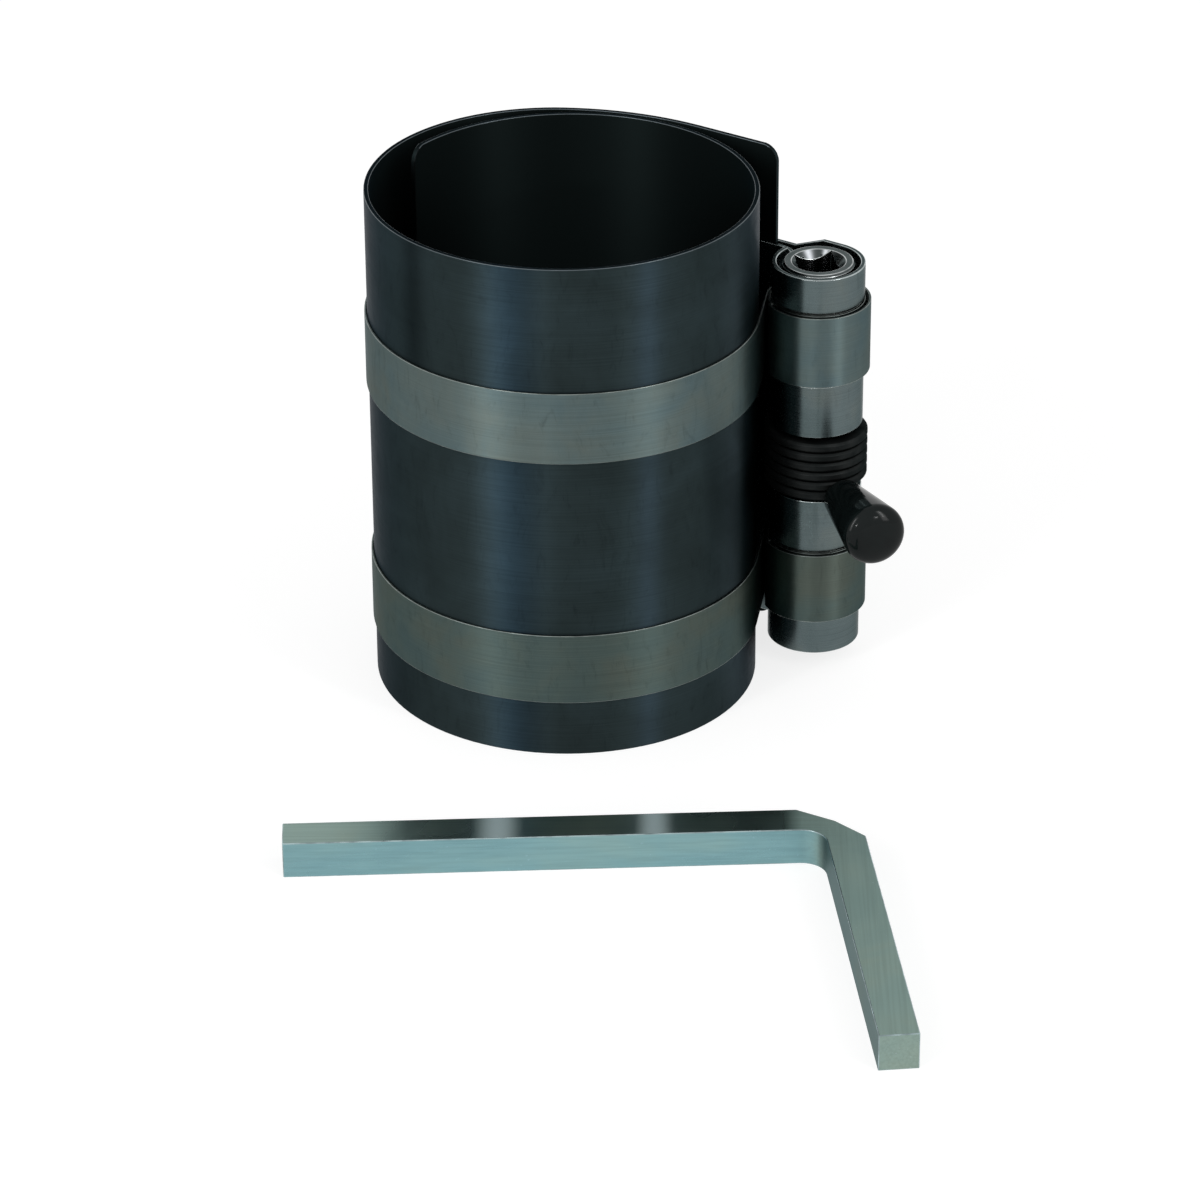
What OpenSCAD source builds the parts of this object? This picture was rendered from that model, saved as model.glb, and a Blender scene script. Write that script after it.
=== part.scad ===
// Piston ring compressor with a wrap spring clutch and a loose square key.
// Millimetres. The sleeve stands on z = 0 with its round part about the z axis; the spindle is towards +x.

/* [Sleeve] */
// Outside radius of the round part of the sleeve
sleeve_radius = 31.2; // [27:0.1:60]
// Height of the sleeve
sleeve_height = 88.9; // [84:0.1:130]
// Thickness of the sleeve sheet
sheet_t = 0.8; // [0.6:0.05:1]
// Direction where the sheet starts to leave the round part, in degrees
leave_start = -68; // [-75:1:-60]
// How much larger the radius of the sheet is where it leaves the round part
leave_growth = 1.85; // [1.5:0.05:2.5]
// Direction where the outer layer turns back towards the round part, in degrees
close_start = 154; // [150:1:160]
// How much smaller than the round part the radius is where the outer layer turns back
close_cut = 0.7; // [0:0.1:1]
// Direction where the outer layer starts to flatten towards its straight end, in degrees
flatten_start = 86; // [82:1:92]
// How much larger than the round part the radius is where the outer layer flattens
flatten_growth = 15; // [12:0.5:20]
// Direction of the inner end of the sheet, in degrees
inner_end = 148; // [130:1:158]
// Radius of the four rounded corners of the sheet
corner_radius = 3; // [1:0.5:6]

/* [Bands] */
// Width of a band
band_width = 12.7; // [10:0.1:16]
// Thickness of a band
band_t = 0.4; // [0.3:0.05:0.45]
// Height of the middle of the lower band
band_low = 16.35; // [14:0.05:30]
// Distance between the middles of the two bands
band_spacing = 44.45; // [42:0.05:60]
// Part of a turn that the outer lap of a band goes round its roll, in degrees
lap_turn = 334; // [250:1:336]
// Half turns of band wound on the spindle
roll_halves = 8; // [2:2:8]
// Direction in which the band tongues enter the spindle, in degrees
roll_start = 200; // [0:1:359]

/* [Spindle] */
// Distance of the spindle axis from the outside of the sleeve
spindle_stand_off = 10.2; // [9.9:0.1:16]
// Direction of the spindle axis seen from the sleeve axis, in degrees
spindle_direction = 5.6; // [0:0.1:12]
// Radius of the spindle
spindle_radius = 6.1; // [5.8:0.05:6.3]
// Width across the flats of the square socket
socket_width = 6.5; // [6.4:0.05:7]
// Depth of the square socket
socket_depth = 22; // [12:0.5:30]
// Direction of one flat of the socket, in degrees
socket_turn = 15; // [0:1:89]

/* [Housing] */
// Inside radius of the knuckles
knuckle_radius = 7; // [6.8:0.05:7.4]
// Thickness of the housing sheet
housing_t = 0.8; // [0.6:0.05:1]
// Height of the housing
housing_height = 70.3; // [68:0.1:90]
// Height of the opening for the clutch spring
spring_opening = 12; // [11.8:0.1:14]
// Inside radius of the bend between the knuckles and the front leg
bend_radius = 3; // [2:0.1:3.2]
// Length of the straight front leg
front_leg = 10; // [6:0.5:11]
// Distance of the end of the back leg from the spindle axis, along the leg
back_leg = 22; // [20:0.5:23]
// How much lower the legs stand than the knuckles
leg_drop = 2.2; // [0:0.1:3]
// Distance from the spindle axis where the back leg starts to slope down, along the leg
slope_start = 3.5; // [2:0.5:5]
// Distance from the spindle axis where that slope ends, along the leg
slope_end = 9; // [7:0.5:12]
// Distance of the end of the sleeve sheet from the spindle axis, along the leg
flap_end = 12.2; // [11:0.1:14]

/* [Clutch] */
// Radial width of the clutch wire
wire_width = 2.5; // [1.8:0.1:2.5]
// Height of the clutch wire
wire_height = 1.6; // [1.2:0.1:1.65]
// Rise of the clutch wire in one turn
wire_pitch = 1.8; // [1.75:0.05:1.85]
// Direction of the anchored end of the clutch wire, in degrees
anchor_direction = 123; // [120:1:126]
// Direction of the release lever, in degrees
lever_direction = 286; // [275:1:300]
// Upward slope of the release lever, in degrees
lever_rise = 5; // [0:0.5:8]
// Distance of the front of the grip from the spindle axis
grip_end = 27.5; // [22:0.5:36]
// Radius of the grip next to the spring
grip_root_radius = 3.4; // [2.6:0.1:4]
// Radius of the grip at its front
grip_end_radius = 5.3; // [4:0.1:6.5]

/* [Key] */
// Width across the flats of the key
key_width = 6.35; // [6:0.05:6.4]
// Length of the long arm over the outside of the bend
key_long = 92.7; // [70:0.1:130]
// Length of the short arm over the outside of the bend
key_short = 65.8; // [40:0.1:80]
// Angle between the two arms, in degrees
key_angle = 93.25; // [85:0.25:100]
// Radius of the outside of the bend, flattened so that it is larger than the width
key_round = 13; // [6:0.5:16]
// Distance of the long arm from the outside of the sleeve
key_stand_off = 31.7; // [20:0.1:60]
// Place along x where the middles of the two arms meet
key_x = 43.1; // [30:0.1:70]
// Direction of the long arm, in degrees
key_turn = 2.25; // [-10:0.25:10]

/* [Hidden] */
$fn = 96;
// Gap between sheets that lie on one another
seat = 0.05;
// Gap between turning pieces
running = 0.1;
// Overshoot of cutting shapes
over = 1;
// A bent sheet is one solid: every second piece is smaller by this all round and runs this far into the next
joint_inset = 0.01;
joint_lap = 0.1;
// How far a rounded corner is set out, so that it crosses the edges that it rounds
corner_set = 0.03;

function heading(angle) = [cos(angle), sin(angle)];

// Spindle axis
spindle_distance = sleeve_radius + spindle_stand_off;
spindle_place = spindle_distance * heading(spindle_direction);

// Outer layer of the sleeve: three arcs, each smooth with the one before, and a straight end
leave_radius = sleeve_radius + leave_growth;
leave_place = -leave_growth * heading(leave_start);
close_radius = sleeve_radius - close_cut;
close_place = leave_place + (leave_radius - close_radius) * heading(close_start);
flatten_radius = sleeve_radius + flatten_growth;
flatten_place = close_place + (close_radius - flatten_radius) * heading(flatten_start);

// The straight end is smooth with the last arc and passes the knuckles between the two legs
flap_outer = knuckle_radius - seat;
flap_inner = flap_outer - sheet_t;
flap_offset = flatten_radius - flap_outer;
flap_way = spindle_place - flatten_place;
flap_normal = atan2(flap_way[1], flap_way[0]) + acos(flap_offset / norm(flap_way));
flap_start = sqrt(flap_way * flap_way - flap_offset * flap_offset);

// Bands
band_inner = sleeve_radius + seat;
lap_inner = spindle_radius + seat + roll_halves * (band_t + seat) / 2 + band_t + running;
lap_outer = lap_inner + band_t;
run_offset = band_inner + lap_outer;
leave_direction = spindle_direction - acos(run_offset / spindle_distance);
run_length = sqrt(spindle_distance * spindle_distance - run_offset * run_offset);
weld_gap = 1.5;
weld_start = back_leg + weld_gap;
weld_inset = 3;
weld_radius = 1.6;
weld_depth = 0.15;
band_heights = [band_low, band_low + band_spacing];
tongue = 2;

// Housing
housing_middle = band_low + band_spacing / 2;
housing_bottom = housing_middle - housing_height / 2;
housing_top = housing_middle + housing_height / 2;
legs_bottom = housing_bottom - leg_drop;
knuckle_outer = knuckle_radius + housing_t;
front_leg_outer = flap_inner - seat;
front_leg_inner = front_leg_outer - housing_t;
bend_outer = bend_radius + housing_t;
bend_y = front_leg_inner - bend_radius;
bend_reach = knuckle_radius + housing_t + bend_radius;
bend_x = sqrt(bend_reach * bend_reach - bend_y * bend_y);
bend_angle = atan2(bend_y, bend_x);
window_gap = 0.4;
roll_window = lap_outer + window_gap;
weld_rows = 5;
leg_weld_inset = 5;

// Clutch wire
wire_inner = spindle_radius + running;
wire_middle = wire_inner + wire_width / 2;
wire_outer = wire_inner + wire_width;
wire_bend_inner = 0.4;
wire_bend = wire_width / 2 + wire_bend_inner;
wire_chamfer = 0.35;
spring_gap = 0.7;
spring_window = wire_outer + spring_gap;
wire_top = housing_middle + spring_opening / 2 - wire_height / 2 - running;
turn_steps = 48;
bend_steps = 6;
clutch_turns = 5;
spring_short = 10;
lever_free = 15;
spring_end = anchor_direction + 360 * clutch_turns - spring_short;
lever_begin = spring_end + lever_free;
lever_end = lever_direction + 360 * clutch_turns;
lever_slope = tan(lever_rise);
tail_length = 2.3;
tail_reach = wire_outer + tail_length;
tang_cover = 4;
tang_reach = grip_end - tang_cover;
grip_gap = 0.8;
grip_start = wire_outer + grip_gap;
grip_rounding = 2;
grip_chamfer = 0.5;
grip_dome = 0.3;

// Key
key_sweep = 180 - key_angle;
key_corner = key_width / 2 * tan(key_sweep / 2);
key_round_start = key_round * tan(key_sweep / 2);
key_y = -(sleeve_radius + key_stand_off);

// Upright sheet bent about the z axis between two directions
module arc_sheet(outer, thick, from, to, high) {
    rotate([0, 0, from])
        rotate_extrude(angle = to - from)
            translate([outer - thick, 0])
                square([thick, high]);
}

// The same as an inset piece
module inset_arc(outer, thick, from, to, high) {
    reach = joint_lap / outer * 180 / PI;
    translate([0, 0, joint_inset])
        arc_sheet(
            outer - joint_inset,
            thick - 2 * joint_inset,
            from - reach,
            to + reach,
            high - 2 * joint_inset
        );
}

// Sheet at a distance outside the outer layer of the sleeve, from the round part to the straight end
module outer_layer(outside, thick, high) {
    translate([leave_place[0], leave_place[1], 0])
        inset_arc(leave_radius + outside, thick, close_start, leave_start + 360, high);
    translate([close_place[0], close_place[1], 0])
        arc_sheet(close_radius + outside, thick, flatten_start, close_start, high);
    translate([flatten_place[0], flatten_place[1], 0])
        inset_arc(flatten_radius + outside, thick, flap_normal, flatten_start, high);
}

// Frame at the spindle: x runs back along the straight end of the sheet, y points out of the tool
module leg_frame() {
    translate([spindle_place[0], spindle_place[1], 0])
        rotate([0, 0, flap_normal + 90])
            mirror([0, 1, 0])
                children();
}

module at_spindle(angle) {
    translate([spindle_place[0], spindle_place[1], 0])
        rotate([0, 0, angle])
            children();
}

// Waste outside a rounded corner in the x-z plane; the corner points to +x and +z
module corner_waste(deep) {
    rotate([90, 0, 0])
        linear_extrude(height = deep, center = true)
            difference() {
                square(corner_radius + over);
                circle(r = corner_radius);
            }
}

module both_corners(deep) {
    translate([corner_set, 0, sleeve_height - corner_radius + corner_set])
        corner_waste(deep);
    translate([corner_set, 0, corner_radius - corner_set])
        mirror([0, 0, 1])
            corner_waste(deep);
}

module sleeve() {
    color([0.13, 0.16, 0.18])
        difference() {
            union() {
                arc_sheet(sleeve_radius, sheet_t, leave_start, inner_end, sleeve_height);
                outer_layer(0, sheet_t, sleeve_height);
                leg_frame()
                    translate([flap_end, flap_inner, 0])
                        cube([flap_start - flap_end, sheet_t, sleeve_height]);
            }
            leg_frame()
                translate([flap_end + corner_radius, flap_inner, 0])
                    mirror([1, 0, 0])
                        both_corners(2 * sheet_t + over);
            rotate([0, 0, inner_end])
                translate([sleeve_radius - sheet_t / 2, -corner_radius, 0])
                    rotate([0, 0, 90])
                        both_corners(sheet_t * 2);
        }
}

// One band: welded end on the sheet, round the sleeve, across to the roll and once round it
module band(middle) {
    color([0.42, 0.44, 0.44])
        difference() {
            translate([0, 0, middle - band_width / 2]) {
                leg_frame()
                    translate([weld_start, flap_outer + seat, 0])
                        cube([flap_start - weld_start, band_t, band_width]);
                outer_layer(seat + band_t, band_t, band_width);
                arc_sheet(band_inner + band_t, band_t, leave_start, leave_direction, band_width);
                rotate([0, 0, leave_direction])
                    translate([band_inner + joint_inset, -joint_lap, joint_inset])
                        cube([
                            band_t - 2 * joint_inset,
                            run_length + 2 * joint_lap,
                            band_width - 2 * joint_inset
                        ]);
                at_spindle(leave_direction + 180)
                    arc_sheet(lap_outer, band_t, -lap_turn, 0, band_width);
            }
            for (side = [-1, 1])
                leg_frame()
                    translate([
                        weld_start + weld_inset,
                        flap_outer + seat + band_t - weld_depth,
                        middle + side * band_width / 4
                    ])
                        rotate([-90, 0, 0])
                            cylinder(h = over, r = weld_radius);
        }
}

module upper_band() {
    band(band_heights[1]);
}

module lower_band() {
    band(band_heights[0]);
}

// Inner turns of a band: half circles that step outwards, and a tongue in the slot of the spindle
module band_roll(middle) {
    step = (band_t + seat) / 2;
    first = spindle_radius + seat;
    color([0.38, 0.4, 0.4])
        at_spindle(roll_start)
            translate([0, 0, middle - band_width / 2]) {
                for (half = [0 : roll_halves - 1])
                    translate([(half % 2) * step, 0, 0])
                        arc_sheet(first + half * step + band_t, band_t,
                            (half % 2) * 180, (half % 2) * 180 + 180, band_width);
                translate([first - tongue, -band_t, 0])
                    cube([tongue + band_t, band_t, band_width]);
            }
}

module upper_band_roll() {
    band_roll(band_heights[1]);
}

module lower_band_roll() {
    band_roll(band_heights[0]);
}

// Back leg of the housing: as high as the knuckles where it leaves them, then lower
module back_plate(thick) {
    low = joint_inset;
    high = housing_height - joint_inset;
    rotate([90, 0, 0])
        linear_extrude(height = thick)
            polygon([
                [-joint_lap, housing_bottom + low],
                [slope_start, housing_bottom + low],
                [slope_end, legs_bottom + low],
                [back_leg, legs_bottom + low],
                [back_leg, legs_bottom + high],
                [slope_end, legs_bottom + high],
                [slope_start, housing_bottom + high],
                [-joint_lap, housing_bottom + high]
            ]);
}

// One pressing: four knuckles about the spindle and two legs that hold the end of the sleeve sheet
module spindle_housing() {
    color([0.36, 0.4, 0.41])
        difference() {
            leg_frame() {
                translate([0, 0, housing_bottom])
                    arc_sheet(knuckle_outer, housing_t, 90, 360 + bend_angle, housing_height);
                translate([0, 0, legs_bottom]) {
                    translate([bend_x, bend_y, 0])
                        inset_arc(bend_outer, housing_t, 90, 180 + bend_angle, housing_height);
                    translate([bend_x, front_leg_inner, 0])
                        cube([front_leg, housing_t, housing_height]);
                }
                translate([0, knuckle_outer - joint_inset, 0])
                    back_plate(housing_t - 2 * joint_inset);
            }
            for (middle = band_heights)
                at_spindle(0)
                    translate([0, 0, middle - band_width / 2 - window_gap])
                        cylinder(h = band_width + 2 * window_gap, r = roll_window);
            at_spindle(0)
                translate([0, 0, housing_middle - spring_opening / 2])
                    cylinder(h = spring_opening, r = spring_window);
            at_spindle(anchor_direction)
                translate([
                    wire_middle,
                    -wire_bend - wire_width / 2 - seat,
                    wire_top - wire_height / 2 - seat
                ])
                    cube([2 * wire_width + over, wire_width + 2 * seat, wire_height + 2 * seat]);
            for (row = [0 : weld_rows - 1])
                leg_frame()
                    translate([
                        back_leg - leg_weld_inset,
                        knuckle_outer - weld_depth,
                        legs_bottom + housing_height * (row + 0.5) / weld_rows
                    ])
                        rotate([-90, 0, 0])
                            cylinder(h = over, r = weld_radius);
        }
}

module spindle() {
    chamfer = 0.4;
    tongue_slot = band_t + 2 * seat;
    slot_depth = tongue + 2 * running;
    mouth = socket_width * 0.7;
    color([0.55, 0.57, 0.58])
        difference() {
            at_spindle(0)
                rotate_extrude()
                    polygon([
                        [0, housing_bottom],
                        [spindle_radius - chamfer, housing_bottom],
                        [spindle_radius, housing_bottom + chamfer],
                        [spindle_radius, housing_top - chamfer],
                        [spindle_radius - chamfer, housing_top],
                        [0, housing_top]
                    ]);
            at_spindle(socket_turn)
                translate([-socket_width / 2, -socket_width / 2, housing_top - socket_depth])
                    cube([socket_width, socket_width, socket_depth + over]);
            at_spindle(0)
                translate([0, 0, housing_top - mouth])
                    cylinder(h = mouth + over, r1 = 0, r2 = mouth + over);
            for (middle = band_heights)
                at_spindle(roll_start)
                    translate([spindle_radius - slot_depth, -band_t - seat, middle - band_width / 2 - seat])
                        cube([slot_depth + over, tongue_slot, band_width + 2 * seat]);
        }
}

// Path points of the clutch wire: x, y, z and the direction of travel
function at_axis(angle, along, across) =
    spindle_place + along * heading(angle) + across * heading(angle + 90);
function wire_level(angle) = wire_top - wire_pitch * (angle - anchor_direction) / 360;
function helix_path(from, to) =
    let (steps = ceil((to - from) * turn_steps / 360))
    [for (step = [0 : steps])
        let (angle = from + (to - from) * step / steps, spot = at_axis(angle, wire_middle, 0))
        [spot[0], spot[1], wire_level(angle), angle + 90]];
function bend_spot(angle, level, travel) =
    let (spot = at_axis(angle, wire_middle + wire_bend, 0) - wire_bend * heading(travel - 90))
    [spot[0], spot[1], level, travel];

// Cross-section of the wire: outwards and upwards from its middle
wire_section = [
    [-wire_width / 2 + wire_chamfer, -wire_height / 2],
    [wire_width / 2 - wire_chamfer, -wire_height / 2],
    [wire_width / 2, -wire_height / 2 + wire_chamfer],
    [wire_width / 2, wire_height / 2 - wire_chamfer],
    [wire_width / 2 - wire_chamfer, wire_height / 2],
    [-wire_width / 2 + wire_chamfer, wire_height / 2],
    [-wire_width / 2, wire_height / 2 - wire_chamfer],
    [-wire_width / 2, -wire_height / 2 + wire_chamfer]
];

// Wire swept along a path
module wire(path) {
    count = len(wire_section);
    last = len(path) - 1;
    points = [for (spot = path)
        let (side = heading(spot[3] - 90))
        for (corner = wire_section)
            [spot[0] + corner[0] * side[0], spot[1] + corner[0] * side[1], spot[2] + corner[1]]];
    sides = [for (ring = [0 : last - 1])
        for (edge = [0 : count - 1])
            let (next = (edge + 1) % count, here = ring * count, there = here + count)
            each [
                [here + edge, there + edge, there + next],
                [here + edge, there + next, here + next]
            ]];
    first_cap = [[for (edge = [0 : count - 1]) edge]];
    last_cap = [[for (edge = [count - 1 : -1 : 0]) last * count + edge]];
    polyhedron(points = points, faces = concat(first_cap, sides, last_cap), convexity = 10);
}

// Wrap spring: anchored tail in the housing, then down round the spindle
module clutch_spring() {
    tail = at_axis(anchor_direction, tail_reach, -wire_bend);
    color([0.09, 0.09, 0.1])
        wire(concat(
            [[tail[0], tail[1], wire_top, anchor_direction + 180]],
            [for (step = [0 : bend_steps - 1])
                bend_spot(anchor_direction, wire_top, anchor_direction + 180 - 90 * step / bend_steps)],
            helix_path(anchor_direction, spring_end)
        ));
}

// Free end of the same wire, bent outwards into the grip
module release_lever() {
    level = wire_level(lever_end);
    tang = at_axis(lever_end, tang_reach, wire_bend);
    tang_rise = (tang_reach - wire_middle - wire_bend) * lever_slope;
    color([0.1, 0.1, 0.11])
        wire(concat(
            helix_path(lever_begin, lever_end),
            [for (step = [1 : bend_steps])
                bend_spot(lever_end, level, lever_end + 90 - 90 * step / bend_steps)],
            [[tang[0], tang[1], level + tang_rise, lever_end]]
        ));
}

module lever_grip() {
    bend_place = wire_middle + wire_bend;
    start = grip_start - bend_place;
    length = grip_end - grip_start;
    tang_length = tang_reach - bend_place + running;
    color([0.06, 0.06, 0.07])
        at_spindle(lever_end)
            translate([bend_place, wire_bend, wire_level(lever_end)])
                rotate([0, -lever_rise, 0])
                    difference() {
                        translate([start, 0, 0])
                            rotate([0, 90, 0])
                                rotate_extrude()
                                    polygon(concat(
                                        [
                                            [0, 0],
                                            [grip_root_radius - grip_chamfer, 0],
                                            [grip_root_radius, grip_chamfer]
                                        ],
                                        [for (turn = [0 : 9 : 90])
                                            [
                                                grip_end_radius - grip_rounding * (1 - cos(turn)),
                                                length - grip_rounding * (1 - sin(turn))
                                            ]],
                                        [[0, length + grip_dome]]
                                    ));
                        translate([start - over, -wire_width / 2 - seat, -wire_height / 2 - seat])
                            cube([tang_length - start + over, wire_width + 2 * seat, wire_height + 2 * seat]);
                    }
}

// Square bar bent into a key, lying on the ground beside the sleeve
module drive_key() {
    half = key_width / 2;
    corner = [key_corner, half];
    along_short = heading(-key_sweep);
    out_of_short = heading(90 - key_sweep);
    short_end = corner + key_short * along_short;
    round_end = corner + key_round_start * along_short;
    color([0.6, 0.66, 0.68])
        translate([key_x, key_y, 0])
            rotate([0, 0, key_turn])
                difference() {
                    linear_extrude(height = key_width)
                        polygon([
                            [key_corner - key_long, half],
                            corner,
                            short_end,
                            short_end - key_width * out_of_short,
                            -corner,
                            [key_corner - key_long, -half]
                        ]);
                    translate([0, 0, -over])
                        linear_extrude(height = key_width + 2 * over)
                            difference() {
                                polygon([
                                    corner - [key_round_start, 0],
                                    corner + [-key_round_start, over],
                                    corner + [over, over],
                                    round_end + over * out_of_short,
                                    round_end
                                ]);
                                translate(corner - [key_round_start, key_round] + [corner_set, corner_set])
                                    circle(r = key_round);
                            }
                }
}

sleeve();
upper_band();
lower_band();
upper_band_roll();
lower_band_roll();
spindle_housing();
spindle();
clutch_spring();
release_lever();
lever_grip();
drive_key();
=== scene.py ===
"""Looks of the piston ring compressor: finishes, light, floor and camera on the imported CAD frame."""
import math

import bmesh
import bpy
from mathutils import Matrix, Vector


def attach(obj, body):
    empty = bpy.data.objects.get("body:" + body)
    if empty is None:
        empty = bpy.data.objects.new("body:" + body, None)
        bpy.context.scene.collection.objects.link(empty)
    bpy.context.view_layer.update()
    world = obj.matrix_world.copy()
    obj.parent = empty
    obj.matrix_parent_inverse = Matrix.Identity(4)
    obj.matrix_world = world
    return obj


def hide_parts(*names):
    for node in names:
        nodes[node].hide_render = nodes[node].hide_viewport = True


MM = 0.001
UP = (0.0, 0.0, 1.0)
FRONT = (0.0, -1.0, 0.0)
LEFT = (-1.0, 0.0, 0.0)
# Where the spindle stands, in metres.
SPINDLE_AXIS = (0.0412, 0.0040)
# Level that parts the top of the sleeve from the rest, hidden by the upper band, in millimetres.
UPPER_SECTION = 58.0
# Levels just inside the lower and the upper rim of the sleeve, in millimetres; edges between them get painted
# shade.
SLEEVE_RIMS = (0.4, 88.5)
# How far a noise moves in x, y and z for each unit of its shift.
SHIFT_SHARES = (1.0, 0.7, 1.3)
# Colour sockets of a mix node, whose names are shared by its sockets for other kinds of value.
MIX_FIRST, MIX_SECOND, MIX_RESULT = 6, 7, 2
# Material slot of the rounded edges.
EDGE_SLOT = 1

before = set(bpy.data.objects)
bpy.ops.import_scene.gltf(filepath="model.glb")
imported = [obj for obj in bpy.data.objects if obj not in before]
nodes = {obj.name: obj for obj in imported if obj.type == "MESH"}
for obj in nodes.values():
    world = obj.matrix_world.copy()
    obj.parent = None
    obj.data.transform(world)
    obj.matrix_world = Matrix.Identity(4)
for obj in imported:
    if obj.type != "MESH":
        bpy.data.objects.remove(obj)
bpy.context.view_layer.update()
scene = bpy.context.scene
scene.view_settings.view_transform = "Standard"


def grey(value):
    return (value, value, value, 1.0)


class Finish:
    """A node material. Lengths in its textures are in millimetres."""

    def __init__(self, name, metallic):
        self.material = bpy.data.materials.new(name)
        self.material.use_nodes = True
        self.tree = self.material.node_tree
        self.shader = self.tree.nodes["Principled BSDF"]
        self.shader.inputs["Metallic"].default_value = metallic
        source = self.add("ShaderNodeTexCoord").outputs
        self.place = source["Object"]
        self.normal = source["Normal"]

    def add(self, kind, **inputs):
        """A new node, with its named inputs linked or set."""
        node = self.tree.nodes.new(kind)
        for name, value in inputs.items():
            self.put(node.inputs[name.replace("_", " ")], value)
        return node

    def put(self, socket, value):
        """Links an input to an output, or sets it to a value."""
        if isinstance(value, bpy.types.NodeSocket):
            self.tree.links.new(value, socket)
        else:
            socket.default_value = value

    def set(self, name, value):
        """Links or sets an input of the shader."""
        self.put(self.shader.inputs[name], value)

    def noise(self, stretch, detail=3.0, roughness=0.55, distortion=0.0, shift=0.0):
        """Noise with features about 1 / stretch millimetres long in x, y and z."""
        mapping = self.add("ShaderNodeMapping", Vector=self.place)
        mapping.inputs["Scale"].default_value = [value / MM for value in stretch]
        mapping.inputs["Location"].default_value = [shift * share for share in SHIFT_SHARES]
        return self.add(
            "ShaderNodeTexNoise", Vector=mapping.outputs["Vector"], Scale=1.0, Detail=detail,
            Roughness=roughness, Distortion=distortion,
        ).outputs["Fac"]

    def ramp(self, factor, *stops):
        """Colours at positions along a factor."""
        node = self.add("ShaderNodeValToRGB", Fac=factor)
        points = node.color_ramp.elements
        while len(points) < len(stops):
            points.new(0.5)
        for point, (position, colour) in zip(points, stops):
            point.position = position
            point.color = colour if len(colour) == 4 else (*colour, 1.0)
        return node.outputs["Color"]

    def span(self, factor, low, high, start=0.3, end=0.7):
        """A factor between start and end, spread from low to high."""
        return self.add(
            "ShaderNodeMapRange", Value=factor, From_Min=start, From_Max=end, To_Min=low, To_Max=high,
        ).outputs["Result"]

    def math(self, operation, first, second):
        node = self.add("ShaderNodeMath")
        node.operation = operation
        self.put(node.inputs[0], first)
        self.put(node.inputs[1], second)
        return node.outputs["Value"]

    def vector(self, operation, first, second):
        node = self.add("ShaderNodeVectorMath")
        node.operation = operation
        self.put(node.inputs[0], first)
        self.put(node.inputs[1], second)
        return node.outputs["Value" if operation == "DOT_PRODUCT" else "Vector"]

    def mix(self, blend, factor, first, second):
        node = self.add("ShaderNodeMix")
        node.data_type = "RGBA"
        node.blend_type = blend
        self.put(node.inputs["Factor"], factor)
        self.put(node.inputs[MIX_FIRST], first)
        self.put(node.inputs[MIX_SECOND], second)
        return node.outputs[MIX_RESULT]

    def share(self, first, second, part):
        """A part of the first value and the rest of the second."""
        return self.math(
            "ADD", self.math("MULTIPLY", first, part), self.math("MULTIPLY", second, 1.0 - part),
        )

    def fade(self, value, middle, width):
        """1 where a value is at the middle, falling off on both sides as a bell curve of a width."""
        away = self.math("DIVIDE", self.math("SUBTRACT", value, middle), width)
        return self.math("POWER", math.e, self.math("MULTIPLY", self.math("MULTIPLY", away, away), -1.0))

    def bump(self, height, strength, depth):
        node = self.add("ShaderNodeBump", Height=height, Strength=strength, Distance=depth * MM)
        self.set("Normal", node.outputs["Normal"])

    def coordinate(self, axis):
        """The X, Y or Z of the place, in metres."""
        return self.add("ShaderNodeSeparateXYZ", Vector=self.place).outputs[axis]

    def streak(self, direction, width, axis=(0.0, 0.0)):
        """1 on an upright streak at a direction about an upright axis, fading over a width, in degrees."""
        from_axis = self.vector("SUBTRACT", self.place, (*axis, 0.0))
        parts = self.add("ShaderNodeSeparateXYZ", Vector=from_axis).outputs
        angle = self.math("ARCTAN2", parts["Y"], parts["X"])
        return self.fade(angle, math.radians(direction), math.radians(width))

    def patch(self, middle, width):
        """1 at a place along x, fading over a width, in millimetres."""
        return self.fade(self.coordinate("X"), middle * MM, width * MM)

    def above(self, level):
        """1 above a level in millimetres."""
        return self.math("GREATER_THAN", self.coordinate("Z"), level * MM)

    def inside(self, least=10.0):
        """1 on faces that look at the z axis from more than the least distance, in millimetres."""
        level = self.vector("MULTIPLY", self.place, (1.0, 1.0, 0.0))
        outward = self.vector("DOT_PRODUCT", self.normal, level)
        return self.math("LESS_THAN", outward, -least * MM)

    def facing(self, direction, start, end):
        """0 to 1 as a face turns towards a direction, between two cosines."""
        return self.span(self.vector("DOT_PRODUCT", self.normal, direction), 0.0, 1.0, start, end)

    def brushed(self, amount):
        """The grain runs level, so the gloss spreads upright. It leans a little, for the level faces."""
        upright = self.add("ShaderNodeCombineXYZ", X=0.03, Y=0.02, Z=1.0)
        self.set("Anisotropic", amount)
        self.set("Tangent", upright.outputs["Vector"])


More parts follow.
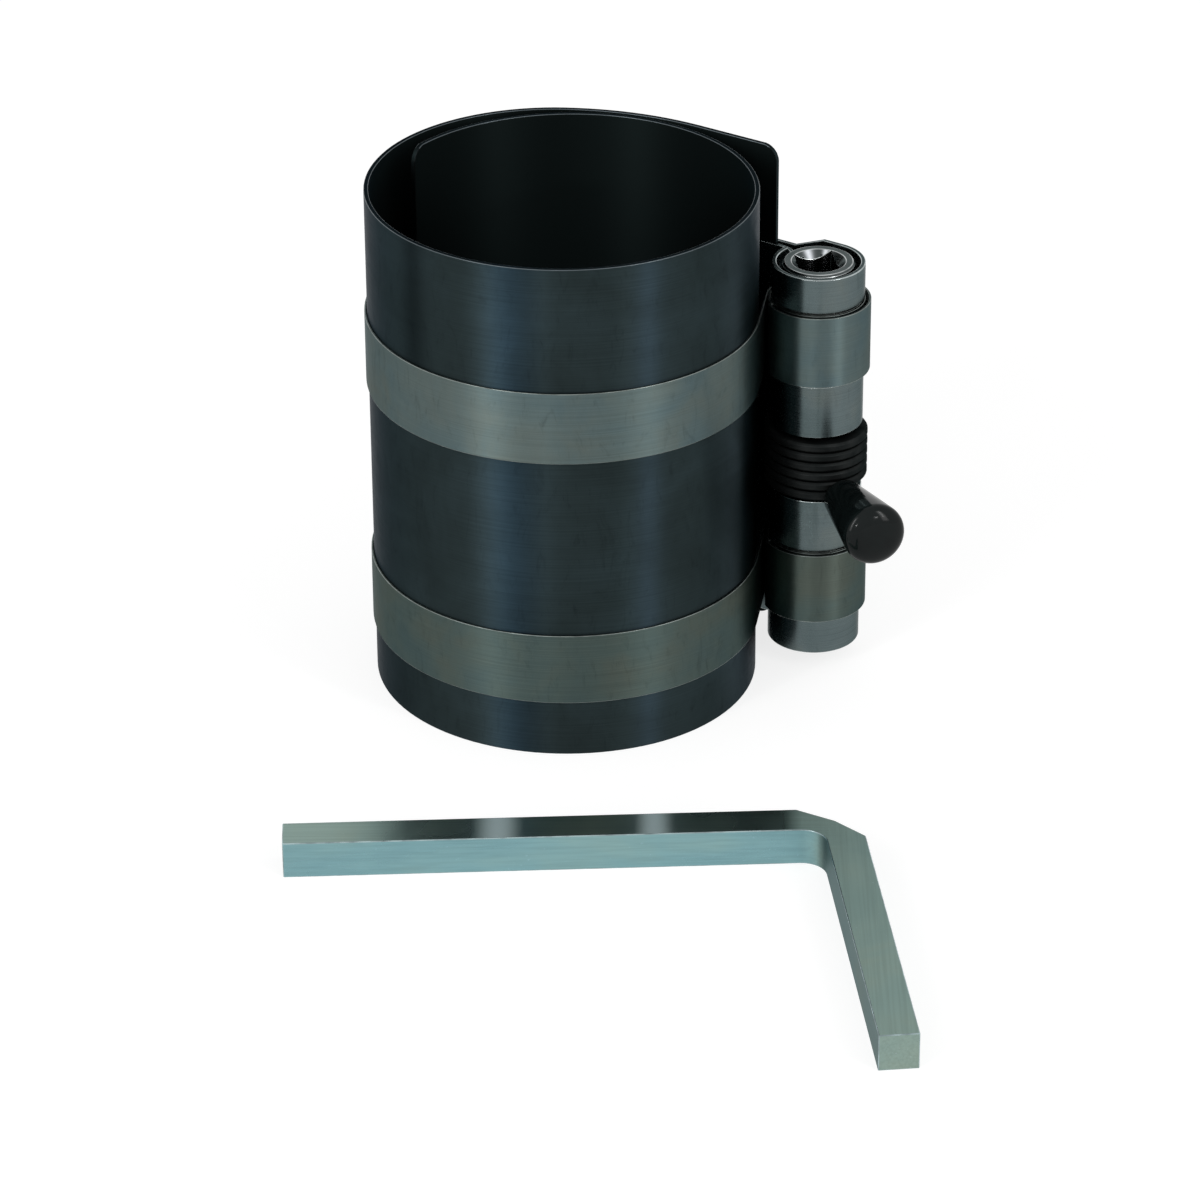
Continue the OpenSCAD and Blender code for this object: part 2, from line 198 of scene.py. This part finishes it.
def steel(
    name, tones, roughness, brushing, rim, grain_depth, cloud_size, shift=0.0, painted_streaks=(), painted_bore_shade=None, top=None,
):
    """Rolled steel: cloudy tone, level rolling lines, fine pits and a few dull scuffs.

    Each painted streak is an upright streak of painted reflection, lighter or darker: direction, width,
    colour and lowest level.
    Upper faces keep only the given share of the tone, which paints shade on them, and faces that look at the
    axis take the given colour, painted shade inside.
    """
    finish = Finish(name, 1.0)
    cloud = finish.noise([1 / cloud_size] * 3, detail=4.0, distortion=0.6, shift=shift)
    lines = finish.noise([0.05, 0.05, 6.0], detail=2.0, shift=shift + 3.0)
    pits = finish.noise([2.6] * 3, detail=2.0, shift=shift + 7.0)
    scuffs = finish.noise([0.5, 0.5, 0.16], detail=5.0, roughness=0.7, distortion=1.2, shift=shift + 11.0)
    tone = finish.ramp(cloud, *tones)
    line_shade = finish.ramp(lines, (0.3, grey(0.8)), (0.7, grey(1.0)))
    scuff_shade = finish.ramp(scuffs, (0.56, grey(1.0)), (0.72, grey(0.82)))
    tone = finish.mix("MULTIPLY", 1.0, tone, line_shade)
    tone = finish.mix("MULTIPLY", 1.0, tone, scuff_shade)
    # Painted reflections: upright streaks that lighten or darken the tone where lamps and dark surroundings
    # would be mirrored.
    for direction, width, streak_colour, lowest in painted_streaks:
        amount = finish.math("MULTIPLY", finish.streak(direction, width), finish.above(lowest))
        tone = finish.mix("MULTIPLY", amount, tone, (*streak_colour, 1.0))
    # Painted shade: faces that look up are darkened to the given share of the tone.
    if top:
        tone = finish.mix("MULTIPLY", finish.facing(UP, 0.6, 0.9), tone, grey(top))
    gloss = finish.span(finish.share(lines, scuffs, 0.5), *roughness, 0.38, 0.62)
    # Painted shade: faces that look at the axis take a dark colour, as the shade inside the sleeve.
    if painted_bore_shade:
        bore_roughness = 0.7
        inside = finish.inside()
        tone = finish.mix("MIX", inside, tone, (*painted_bore_shade, 1.0))
        gloss = finish.math("MAXIMUM", gloss, finish.math("MULTIPLY", inside, bore_roughness))
    finish.set("Base Color", tone)
    finish.set("Specular Tint", (*rim, 1.0))
    finish.set("Roughness", gloss)
    finish.brushed(brushing)
    finish.bump(finish.share(lines, pits, 0.7), 0.5, grain_depth)
    return finish.material


def worn_and_highlit_edge(name, colour, roughness, wear=0.55, rims=None):
    """Steel rubbed bright along an edge, with duller spots; the bright edge colour is partly a painted
    highlight.

    Where two rims are given by their levels, the edges between them get painted shade.
    """
    finish = Finish(name, 1.0)
    spots = finish.noise([0.35] * 3, detail=3.0)
    dull = tuple(value * wear for value in colour)
    tone = finish.ramp(spots, (0.35, dull), (0.6, colour))
    if rims:
        # Painted shade on the upright edges between the rims.
        painted_edge_shade = 0.12
        lowest, highest = rims
        between = finish.math("SUBTRACT", finish.above(lowest), finish.above(highest))
        tone = finish.mix("MULTIPLY", between, tone, grey(painted_edge_shade))
    finish.set("Base Color", tone)
    finish.set("Roughness", finish.span(spots, roughness + 0.12, roughness - 0.04))
    finish.bump(finish.noise([3.0] * 3), 0.3, 0.004)
    return finish.material


def black_wire(name):
    """Oiled black spring wire with drawing lines."""
    finish = Finish(name, 1.0)
    cloud = finish.noise([0.3] * 3, detail=4.0)
    lines = finish.noise([0.2, 0.2, 9.0], detail=2.0, shift=5.0)
    tone = finish.ramp(cloud, (0.35, (0.013, 0.015, 0.015)), (0.68, (0.024, 0.026, 0.026)))
    finish.set("Base Color", tone)
    finish.set("Specular Tint", (0.4, 0.42, 0.42, 1.0))
    finish.set("Roughness", finish.span(lines, 0.5, 0.64))
    finish.bump(lines, 0.4, 0.006)
    return finish.material


def moulded_black(name):
    """Black moulded plastic with a fine moulded skin and rubbed patches."""
    finish = Finish(name, 0.0)
    cloud = finish.noise([0.22] * 3, detail=4.0)
    skin = finish.noise([5.0] * 3, detail=3.0, shift=2.0)
    tone = finish.ramp(cloud, (0.35, (0.003, 0.005, 0.005)), (0.7, (0.006, 0.009, 0.009)))
    finish.set("Base Color", tone)
    finish.set("Specular IOR Level", 0.14)
    finish.set("Roughness", finish.span(cloud, 0.09, 0.13))
    finish.bump(skin, 0.2, 0.002)
    return finish.material


def plated_zinc(name):
    """Bright zinc plating on drawn bar: haze, faint draw lines and fine specks, dulled from the bend on.

    The front of the long arm is tinted bluish as a painted reflection, faces that look left get painted
    shade, and two places on top carry painted reflections, lighter and rougher.
    """
    # Where the bar turns into its short arm and where it dulls, along x, in millimetres.
    turn_start, turn_end = 36.0 * MM, 44.0 * MM
    dull_start, dull_end = 31.0 * MM, 37.0 * MM
    # Middle and width of the painted reflections on top, along x, in millimetres.
    painted_reflection_places = ((-12.0, 4.6), (13.0, 3.8))
    painted_reflection_roughness = 0.66
    finish = Finish(name, 1.0)
    cloud = finish.noise([0.05, 0.05, 0.12], detail=3.0, distortion=0.4)
    along = finish.noise([0.04, 2.2, 2.2], detail=2.0, shift=4.0)
    across = finish.noise([2.2, 0.04, 2.2], detail=2.0, shift=9.0)
    specks = finish.noise([1.6] * 3, detail=4.0, roughness=0.7, shift=6.0)
    turned = finish.span(finish.coordinate("X"), 0.0, 1.0, turn_start, turn_end)
    straight = finish.math("SUBTRACT", 1.0, turned)
    long_lines = finish.math("MULTIPLY", along, straight)
    short_lines = finish.math("MULTIPLY", across, turned)
    drawn = finish.math("ADD", long_lines, short_lines)
    tone = finish.ramp(
        cloud, (0.3, (0.21, 0.30, 0.28)), (0.5, (0.24, 0.33, 0.30)), (0.72, (0.27, 0.34, 0.29)),
    )
    line_shade = finish.ramp(drawn, (0.35, grey(0.9)), (0.6, grey(1.0)))
    tone = finish.mix("MULTIPLY", 1.0, tone, line_shade)
    speckled = finish.ramp(specks, (0.66, grey(0.0)), (0.76, grey(0.5)))
    tone = finish.mix("MIX", speckled, tone, (0.5, 0.58, 0.6, 1.0))
    # Painted reflection: faces that look to the front of the long arm are tinted lighter and bluish.
    front = finish.math("MULTIPLY", finish.facing(FRONT, 0.6, 0.9), straight)
    tone = finish.mix("MULTIPLY", front, tone, (0.86, 1.1, 1.28, 1.0))
    # Painted shade: faces that look left are darkened.
    tone = finish.mix("MULTIPLY", finish.facing(LEFT, 0.6, 0.9), tone, (0.4, 0.42, 0.44, 1.0))
    bright = finish.span(cloud, 0.24, 0.34)
    dull = finish.span(finish.coordinate("X"), 0.0, 0.55, dull_start, dull_end)
    # Painted reflections: two lighter, rougher places on top of the long arm.
    for middle, width in painted_reflection_places:
        rubbed = finish.math("MULTIPLY", finish.patch(middle, width), finish.facing(UP, 0.8, 0.95))
        dull = finish.math("MAXIMUM", dull, finish.math("MULTIPLY", rubbed, painted_reflection_roughness))
        tone = finish.mix("MIX", rubbed, tone, (0.36, 0.44, 0.45, 1.0))
    finish.set("Base Color", tone)
    finish.set("Specular Tint", (0.75, 0.85, 0.88, 1.0))
    finish.set("Roughness", finish.math("MAXIMUM", bright, dull))
    finish.bump(finish.math("ADD", drawn, finish.math("MULTIPLY", specks, 0.3)), 0.3, 0.005)
    return finish.material


def bright_steel(name):
    """Turned and broached steel: fine rings, a light oil film and two upright streaks of painted highlight,
    not on top.
    """
    # Direction and width of the painted highlight streaks, in degrees.
    wide_painted_highlight, narrow_painted_highlight = (112.0, 9.0), (72.0, 6.0)
    finish = Finish(name, 1.0)
    rings = finish.noise([0.6, 0.6, 5.0], detail=3.0)
    cloud = finish.noise([0.25] * 3, detail=3.0, shift=5.0)
    tone = finish.ramp(cloud, (0.35, (0.05, 0.06, 0.06)), (0.68, (0.08, 0.09, 0.09)))
    # Painted highlight: two upright bright streaks about the spindle axis.
    painted_highlight = finish.math(
        "MAXIMUM", finish.streak(*wide_painted_highlight, SPINDLE_AXIS), finish.streak(*narrow_painted_highlight, SPINDLE_AXIS),
    )
    sloped = finish.math("SUBTRACT", 1.0, finish.facing(UP, 0.8, 0.95))
    painted_highlight = finish.math("MULTIPLY", painted_highlight, sloped)
    finish.set("Base Color", finish.mix("MIX", painted_highlight, tone, (0.75, 0.78, 0.82, 1.0)))
    finish.set("Specular Tint", (0.7, 0.75, 0.75, 1.0))
    finish.set("Roughness", finish.span(rings, 0.18, 0.3))
    finish.bump(rings, 0.35, 0.005)
    return finish.material


def clean_normals():
    """Joins the faces that the frame keeps apart, and keeps a corner sharp where it turns enough."""
    join_reach = 0.02 * MM
    sharp_turn = math.radians(24)
    tree = bpy.data.node_groups.new("clean_normals", "GeometryNodeTree")
    tree.interface.new_socket("Geometry", in_out="INPUT", socket_type="NodeSocketGeometry")
    tree.interface.new_socket("Geometry", in_out="OUTPUT", socket_type="NodeSocketGeometry")
    entry = tree.nodes.new("NodeGroupInput")
    join = tree.nodes.new("GeometryNodeMergeByDistance")
    join.inputs["Distance"].default_value = join_reach
    angle = tree.nodes.new("GeometryNodeInputMeshEdgeAngle")
    sharp = tree.nodes.new("FunctionNodeCompare")
    sharp.data_type = "FLOAT"
    sharp.operation = "GREATER_THAN"
    sharp.inputs[1].default_value = sharp_turn
    normal = tree.nodes.new("GeometryNodeSetMeshNormal")
    normal.mode = "SHARPNESS"
    normal.inputs["Remove Custom"].default_value = True
    leave = tree.nodes.new("NodeGroupOutput")
    tree.links.new(entry.outputs[0], join.inputs["Geometry"])
    tree.links.new(join.outputs["Geometry"], normal.inputs["Mesh"])
    tree.links.new(angle.outputs["Unsigned Angle"], sharp.inputs[0])
    tree.links.new(sharp.outputs["Result"], normal.inputs["Edge Sharpness"])
    tree.links.new(normal.outputs["Mesh"], leave.inputs[0])
    return tree


NORMALS = clean_normals()


def heading(angle):
    return Vector((math.cos(angle), math.sin(angle)))


def link_mesh(name, points, faces):
    """A new object in the scene, from points in millimetres."""
    mesh = bpy.data.meshes.new(name)
    mesh.from_pydata([Vector(point) * MM for point in points], [], faces)
    mesh.validate()
    piece = bpy.data.objects.new(name, mesh)
    scene.collection.objects.link(piece)
    return piece


def face_outward(mesh):
    shape = bmesh.new()
    shape.from_mesh(mesh)
    bmesh.ops.recalc_face_normals(shape, faces=shape.faces)
    shape.to_mesh(mesh)
    shape.free()


def make_key():
    """The loose key with the marks of its bend: flattened and a little sunk outside, filleted inside."""
    width, sunk_height = 6.35, 6.2
    long_arm, short_arm = 92.7, 65.8
    turn, sweep = math.radians(2.25), math.radians(86.75)
    # Where the outer sides of the two arms would meet.
    outer = Vector((45.973, -59.61))
    # How far the flattened corner reaches along each arm, and how far it bulges in its middle.
    long_flat, short_flat, bulge = 10.1, 8.7, 1.1
    fillet, steps = 4.0, 8
    # Length of the faces that lead from the bend into the arms.
    lead = 7.0

    arm, leg = heading(turn), heading(turn - sweep)
    arm_inward, leg_inward = Vector((arm.y, -arm.x)), Vector((leg.y, -leg.x))
    inner = outer + width * (arm_inward + leg_inward) / (1 + arm_inward.dot(leg_inward))
    arm_tip, leg_tip = outer - long_arm * arm, outer + short_arm * leg
    flat_start, flat_end = outer - long_flat * arm, outer + short_flat * leg
    flat_middle = (flat_start + flat_end) / 2 + bulge * (arm - leg).normalized()
    centre = inner - fillet * math.tan(sweep / 2) * arm + fillet * arm_inward
    start = turn + math.pi / 2
    bend = [centre + fillet * heading(start - sweep * step / steps) for step in range(steps + 1)]
    outline = [
        arm_tip, flat_start - lead * arm, flat_start, flat_middle, flat_end, flat_end + lead * leg,
        leg_tip, leg_tip + width * leg_inward, bend[-1] + lead * leg,
        *reversed(bend), bend[0] - lead * arm, arm_tip + width * arm_inward,
    ]

    # Places of the points in the outline.
    at_tip, at_lead, at_start, at_middle, at_end, leg_lead, leg_outer, leg_inner, leg_lead_in = range(9)
    fillet_end = leg_lead_in + 1
    fillet_start = fillet_end + steps
    fillet_middle = (fillet_start + fillet_end) // 2
    at_lead_in, at_tip_in = fillet_start + 1, fillet_start + 2
    count = len(outline)
    low = [(point.x, point.y, 0.0) for point in outline]
    top = [(point.x, point.y, width) for point in outline]
    top[at_middle] = (flat_middle.x, flat_middle.y, sunk_height)
    faces = [list(range(count))]
    for index in range(count):
        after = (index + 1) % count
        faces.append([index + count, after + count, after, index])
    upper = [
        [at_tip, at_lead, at_lead_in, at_tip_in], [at_lead, at_start, fillet_start, at_lead_in],
        [at_end, leg_lead, leg_lead_in, fillet_end], [leg_lead, leg_outer, leg_inner, leg_lead_in],
    ]
    upper += [[at_start, index, index + 1] for index in range(fillet_middle, fillet_start)]
    upper += [[at_start, at_middle, fillet_middle], [at_middle, at_end, fillet_middle]]
    upper += [[at_end, index, index + 1] for index in range(fillet_end, fillet_middle)]
    faces += [[corner + count for corner in reversed(face)] for face in upper]

    key = link_mesh("bent_key", low + top, faces)
    face_outward(key.data)
    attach(key, "key")
    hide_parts("drive_key")
    return key


def make_grip():
    """The moulded grip as a turned form: a slim cone with a softly domed front."""
    bearing, rise = math.radians(-74), math.radians(5)
    # Middle of the end of the grip that is next to the spring.
    root = Vector((45.4066, -4.6358, 33.8948))
    root_radius, chamfer = 3.4, 0.5
    radius, shoulder = 5.27, 16.0
    dome, fullness = 2.3, 2.5
    steps, sides = 14, 64

    level = heading(bearing) * math.cos(rise)
    axis = Vector((level.x, level.y, math.sin(rise)))
    across = Vector(UP).cross(axis).normalized()
    upward = axis.cross(across)
    profile = [(root_radius - chamfer, 0.0), (root_radius, chamfer), (radius, shoulder)]
    for step in range(1, steps):
        turn = math.pi / 2 * step / steps
        profile.append((
            radius * math.cos(turn) ** (2 / fullness), shoulder + dome * math.sin(turn) ** (2 / fullness),
        ))
    points = []
    for wide, far in profile:
        for side in range(sides):
            turn = 2 * math.pi * side / sides
            points.append(root + far * axis + wide * (math.cos(turn) * across + math.sin(turn) * upward))
    points.append(root + (shoulder + dome) * axis)
    faces = [list(reversed(range(sides)))]
    for ring in range(len(profile) - 1):
        here, there = ring * sides, (ring + 1) * sides
        for side in range(sides):
            after = (side + 1) % sides
            faces.append([here + side, here + after, there + after, there + side])
    last, tip = (len(profile) - 1) * sides, len(points) - 1
    faces += [[last + side, last + (side + 1) % sides, tip] for side in range(sides)]

    grip = link_mesh("domed_grip", points, faces)
    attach(grip, "lever")
    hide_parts("lever_grip")
    return grip


def dress(node, main, edge, rounding, flatten=False):
    """Gives a CAD node or a piece its finish, and small rounded edges with the finish of a rubbed edge.

    Flat faces are first joined where cuts have left slivers that the rounding would spread.
    """
    flat_turn, edge_turn = math.radians(0.3), math.radians(35)
    node.data.materials.clear()
    node.data.materials.append(main)
    node.data.materials.append(edge)
    normals = node.modifiers.new("normals", "NODES")
    normals.node_group = NORMALS
    if flatten:
        flats = node.modifiers.new("flats", "DECIMATE")
        flats.decimate_type = "DISSOLVE"
        flats.angle_limit = flat_turn
    bevel = node.modifiers.new("edges", "BEVEL")
    bevel.width = rounding * MM
    bevel.segments = 2
    bevel.limit_method = "ANGLE"
    bevel.angle_limit = edge_turn
    bevel.harden_normals = True
    bevel.use_clamp_overlap = False
    bevel.material = EDGE_SLOT


sleeve_steel = steel(
    "sleeve_steel",
    [(0.3, (0.020, 0.029, 0.030)), (0.5, (0.025, 0.037, 0.039)), (0.7, (0.030, 0.045, 0.049))],
    (0.36, 0.44), 0.96, (0.47, 0.48, 0.5), grain_depth=0.003, cloud_size=22.0,
    # Painted reflections: bluish highlight streaks at -108 and -66 degrees, a lighter streak at -29 and,
    # above the upper section, a darker stripe at -141.
    painted_streaks=[
        (-108.0, 8.0, (0.95, 1.15, 1.45), 0.0), (-66.0, 5.0, (0.95, 1.0, 1.15), 0.0),
        (-141.0, 5.0, (0.55, 0.55, 0.55), UPPER_SECTION), (-29.0, 9.0, (1.6, 1.5, 1.55), 0.0),
    ],
    # Painted shade: faces inside take the dark colour, and upper faces keep only 0.3 of the tone.
    painted_bore_shade=(0.010, 0.015, 0.015), top=0.3,
)
upper_band_steel = steel(
    "upper_band_steel",
    [(0.3, (0.098, 0.142, 0.150)), (0.5, (0.112, 0.150, 0.148)), (0.7, (0.122, 0.148, 0.136))],
    (0.4, 0.5), 0.88, (0.48, 0.5, 0.5), grain_depth=0.004, cloud_size=12.0, shift=20.0,
)
# Painted shade: a darker copy of the upper band's steel, for the darker things the lower band mirrors.
lower_band_painted_shade_steel = steel(
    "lower_band_painted_shade_steel",
    [(0.3, (0.067, 0.099, 0.098)), (0.5, (0.078, 0.107, 0.099)), (0.7, (0.088, 0.107, 0.092))],
    (0.4, 0.5), 0.88, (0.48, 0.5, 0.5), grain_depth=0.004, cloud_size=12.0, shift=26.0,
)
# Painted shade: upper faces of the housing keep only 0.6 of the tone.
housing_steel = steel(
    "housing_steel",
    [(0.3, (0.100, 0.132, 0.136)), (0.5, (0.116, 0.148, 0.152)), (0.7, (0.128, 0.154, 0.150))],
    (0.24, 0.32), 0.6, (0.5, 0.52, 0.52), grain_depth=0.003, cloud_size=9.0, shift=40.0, top=0.6,
)
roll_steel = steel(
    "roll_steel",
    [(0.3, (0.076, 0.098, 0.102)), (0.5, (0.090, 0.110, 0.106)), (0.7, (0.100, 0.110, 0.098))],
    (0.3, 0.4), 0.7, (0.48, 0.5, 0.5), grain_depth=0.004, cloud_size=9.0, shift=60.0,
)
spindle_steel = bright_steel("spindle_steel")
spring_steel = black_wire("spring_steel")
grip_plastic = moulded_black("grip_plastic")
key_zinc = plated_zinc("key_zinc")
# Edge colours: partly rubbed bright steel, partly painted highlight along the rounded edges.
sleeve_edge = worn_and_highlit_edge("sleeve_edge", (0.10, 0.12, 0.13), 0.34, wear=0.8, rims=SLEEVE_RIMS)
band_edge = worn_and_highlit_edge("band_edge", (0.22, 0.25, 0.24), 0.34)
housing_edge = worn_and_highlit_edge("housing_edge", (0.42, 0.47, 0.47), 0.18)
spindle_edge = worn_and_highlit_edge("spindle_edge", (0.5, 0.53, 0.53), 0.22)
key_edge = worn_and_highlit_edge("key_edge", (0.36, 0.46, 0.47), 0.24)

dress(nodes["sleeve"], sleeve_steel, sleeve_edge, 0.1)
dress(nodes["upper_band"], upper_band_steel, band_edge, 0.12, flatten=True)
dress(nodes["lower_band"], lower_band_painted_shade_steel, band_edge, 0.12, flatten=True)
dress(nodes["upper_band_roll"], roll_steel, band_edge, 0.08)
dress(nodes["lower_band_roll"], roll_steel, band_edge, 0.08)
dress(nodes["spindle_housing"], housing_steel, housing_edge, 0.16, flatten=True)
dress(nodes["spindle"], spindle_steel, spindle_edge, 0.1)
dress(nodes["clutch_spring"], spring_steel, spring_steel, 0.12)
dress(nodes["release_lever"], spring_steel, spring_steel, 0.12)
dress(make_grip(), grip_plastic, grip_plastic, 0.15)
dress(make_key(), key_zinc, key_edge, 0.16)


def area_light(name, azimuth, elevation, size, power):
    """A lamp that looks at the tool; azimuth 0 is the front, positive to the right. Sizes are in metres."""
    distance = 1.1
    target = Vector((0.0, 0.0, 0.04))
    light = bpy.data.lights.new(name, "AREA")
    light.shape = "RECTANGLE"
    light.size, light.size_y = size
    light.energy = power
    lamp = bpy.data.objects.new(name, light)
    scene.collection.objects.link(lamp)
    side, rise = math.radians(azimuth), math.radians(elevation)
    lamp.location = target + distance * Vector(
        (math.sin(side) * math.cos(rise), -math.cos(side) * math.cos(rise), math.sin(rise))
    )
    lamp.rotation_euler = (target - lamp.location).to_track_quat("-Z", "Y").to_euler()


area_light("left_box", -42, 24, (0.36, 0.8), 2.8)
area_light("left_strip", -42, 26, (0.04, 0.5), 1.3)
area_light("right_box", 48, 24, (0.2, 0.8), 1.7)
area_light("right_strip", 48, 26, (0.04, 0.5), 0.8)
area_light("left_spark", -11, 14, (0.045, 0.045), 0.5)
area_light("right_spark", 34, 16, (0.045, 0.045), 0.32)


def seen_directly(tree):
    """1 for camera, glossy and transmission rays."""
    path = tree.nodes.new("ShaderNodeLightPath")
    total = path.outputs["Is Camera Ray"]
    for name in ("Is Glossy Ray", "Is Transmission Ray"):
        larger = tree.nodes.new("ShaderNodeMath")
        larger.operation = "MAXIMUM"
        tree.links.new(total, larger.inputs[0])
        tree.links.new(path.outputs[name], larger.inputs[1])
        total = larger.outputs["Value"]
    return total


def make_world():
    """Even light for the object; what the camera and the metal see of the room is white."""
    even_light, seen_light = 0.55, 1.0
    world = bpy.data.worlds.new("room")
    world.use_nodes = True
    tree = world.node_tree
    tree.nodes.clear()
    mix = tree.nodes.new("ShaderNodeMixShader")
    output = tree.nodes.new("ShaderNodeOutputWorld")
    tree.links.new(seen_directly(tree), mix.inputs["Fac"])
    for strength, socket in ((even_light, mix.inputs[1]), (seen_light, mix.inputs[2])):
        background = tree.nodes.new("ShaderNodeBackground")
        background.inputs["Color"].default_value = grey(1.0)
        background.inputs["Strength"].default_value = strength
        tree.links.new(background.outputs[0], socket)
    tree.links.new(mix.outputs[0], output.inputs["Surface"])
    scene.world = world


def make_floor():
    """Pale floor that takes the shadow and otherwise shows white."""
    reach = 4.0
    paper_tone, glow_strength = 0.35, 0.78
    mesh = bpy.data.meshes.new("floor")
    corners = [(-reach, -reach, 0), (reach, -reach, 0), (reach, reach, 0), (-reach, reach, 0)]
    mesh.from_pydata(corners, [], [(0, 1, 2, 3)])
    floor = bpy.data.objects.new("floor", mesh)
    scene.collection.objects.link(floor)
    material = bpy.data.materials.new("floor")
    material.use_nodes = True
    tree = material.node_tree
    tree.nodes.clear()
    paper = tree.nodes.new("ShaderNodeBsdfDiffuse")
    paper.inputs["Color"].default_value = grey(paper_tone)
    glow = tree.nodes.new("ShaderNodeEmission")
    strength = tree.nodes.new("ShaderNodeMath")
    strength.operation = "MULTIPLY"
    strength.inputs[1].default_value = glow_strength
    both = tree.nodes.new("ShaderNodeAddShader")
    output = tree.nodes.new("ShaderNodeOutputMaterial")
    tree.links.new(seen_directly(tree), strength.inputs[0])
    tree.links.new(strength.outputs[0], glow.inputs["Strength"])
    tree.links.new(paper.outputs[0], both.inputs[0])
    tree.links.new(glow.outputs[0], both.inputs[1])
    tree.links.new(both.outputs[0], output.inputs["Surface"])
    mesh.materials.append(material)


def make_camera():
    """Long lens, looking down on the tool from the front."""
    down, roll = math.radians(28.88), math.radians(-0.384)
    place = Vector((4.59, -774.64, 439.26)) * MM
    forward = Vector((0.0, math.cos(down), -math.sin(down)))
    level = Vector((1.0, 0.0, 0.0))
    upward = level.cross(forward)
    right = math.cos(roll) * level + math.sin(roll) * upward
    top = -math.sin(roll) * level + math.cos(roll) * upward
    data = bpy.data.cameras.new("camera")
    data.sensor_width = 36.0
    data.lens = 155.466
    data.clip_start = 0.01
    camera = bpy.data.objects.new("camera", data)
    scene.collection.objects.link(camera)
    axes = Matrix((right, top, -forward)).transposed().to_4x4()
    camera.matrix_world = Matrix.Translation(place) @ axes
    scene.camera = camera


make_world()
make_floor()
make_camera()
